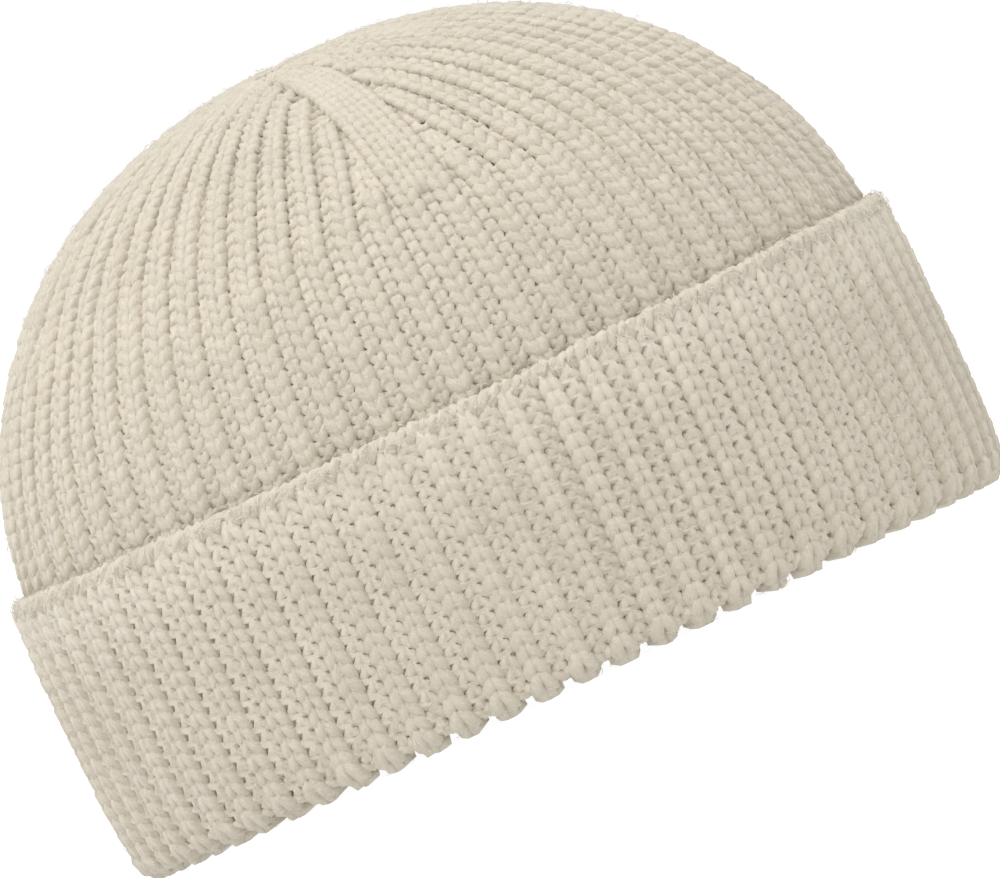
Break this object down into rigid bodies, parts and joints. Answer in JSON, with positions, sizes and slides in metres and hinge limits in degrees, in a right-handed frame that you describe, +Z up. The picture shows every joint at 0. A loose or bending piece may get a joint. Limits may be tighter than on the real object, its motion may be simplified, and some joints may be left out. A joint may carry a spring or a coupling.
{
  "type": "fisherman beanie",
  "caption": "Short knitted cap for the head: a domed, ribbed crown that narrows in gores to a gather at the top, with a deep turned-up ribbed cuff.",
  "frame": {"origin": "on the surface that the cap rests on, under the middle of the brim", "axes": "+Z up through the crown; X runs along the cap's length, from front to back, and Y across it from side to side; -Y is the side that the picture shows"},
  "size_m": [0.21, 0.1896, 0.1479],
  "materials": {
    "crown_knit": "chunky one-by-one rib in cream yarn, matt with a soft fuzz",
    "cuff_knit": "the same rib turned inside out, cream, with a soft rolled free edge"
  },
  "bodies": {
    "root": {"crown": "crown_knit", "cuff": "cuff_knit"}
  },
  "joints": []
}
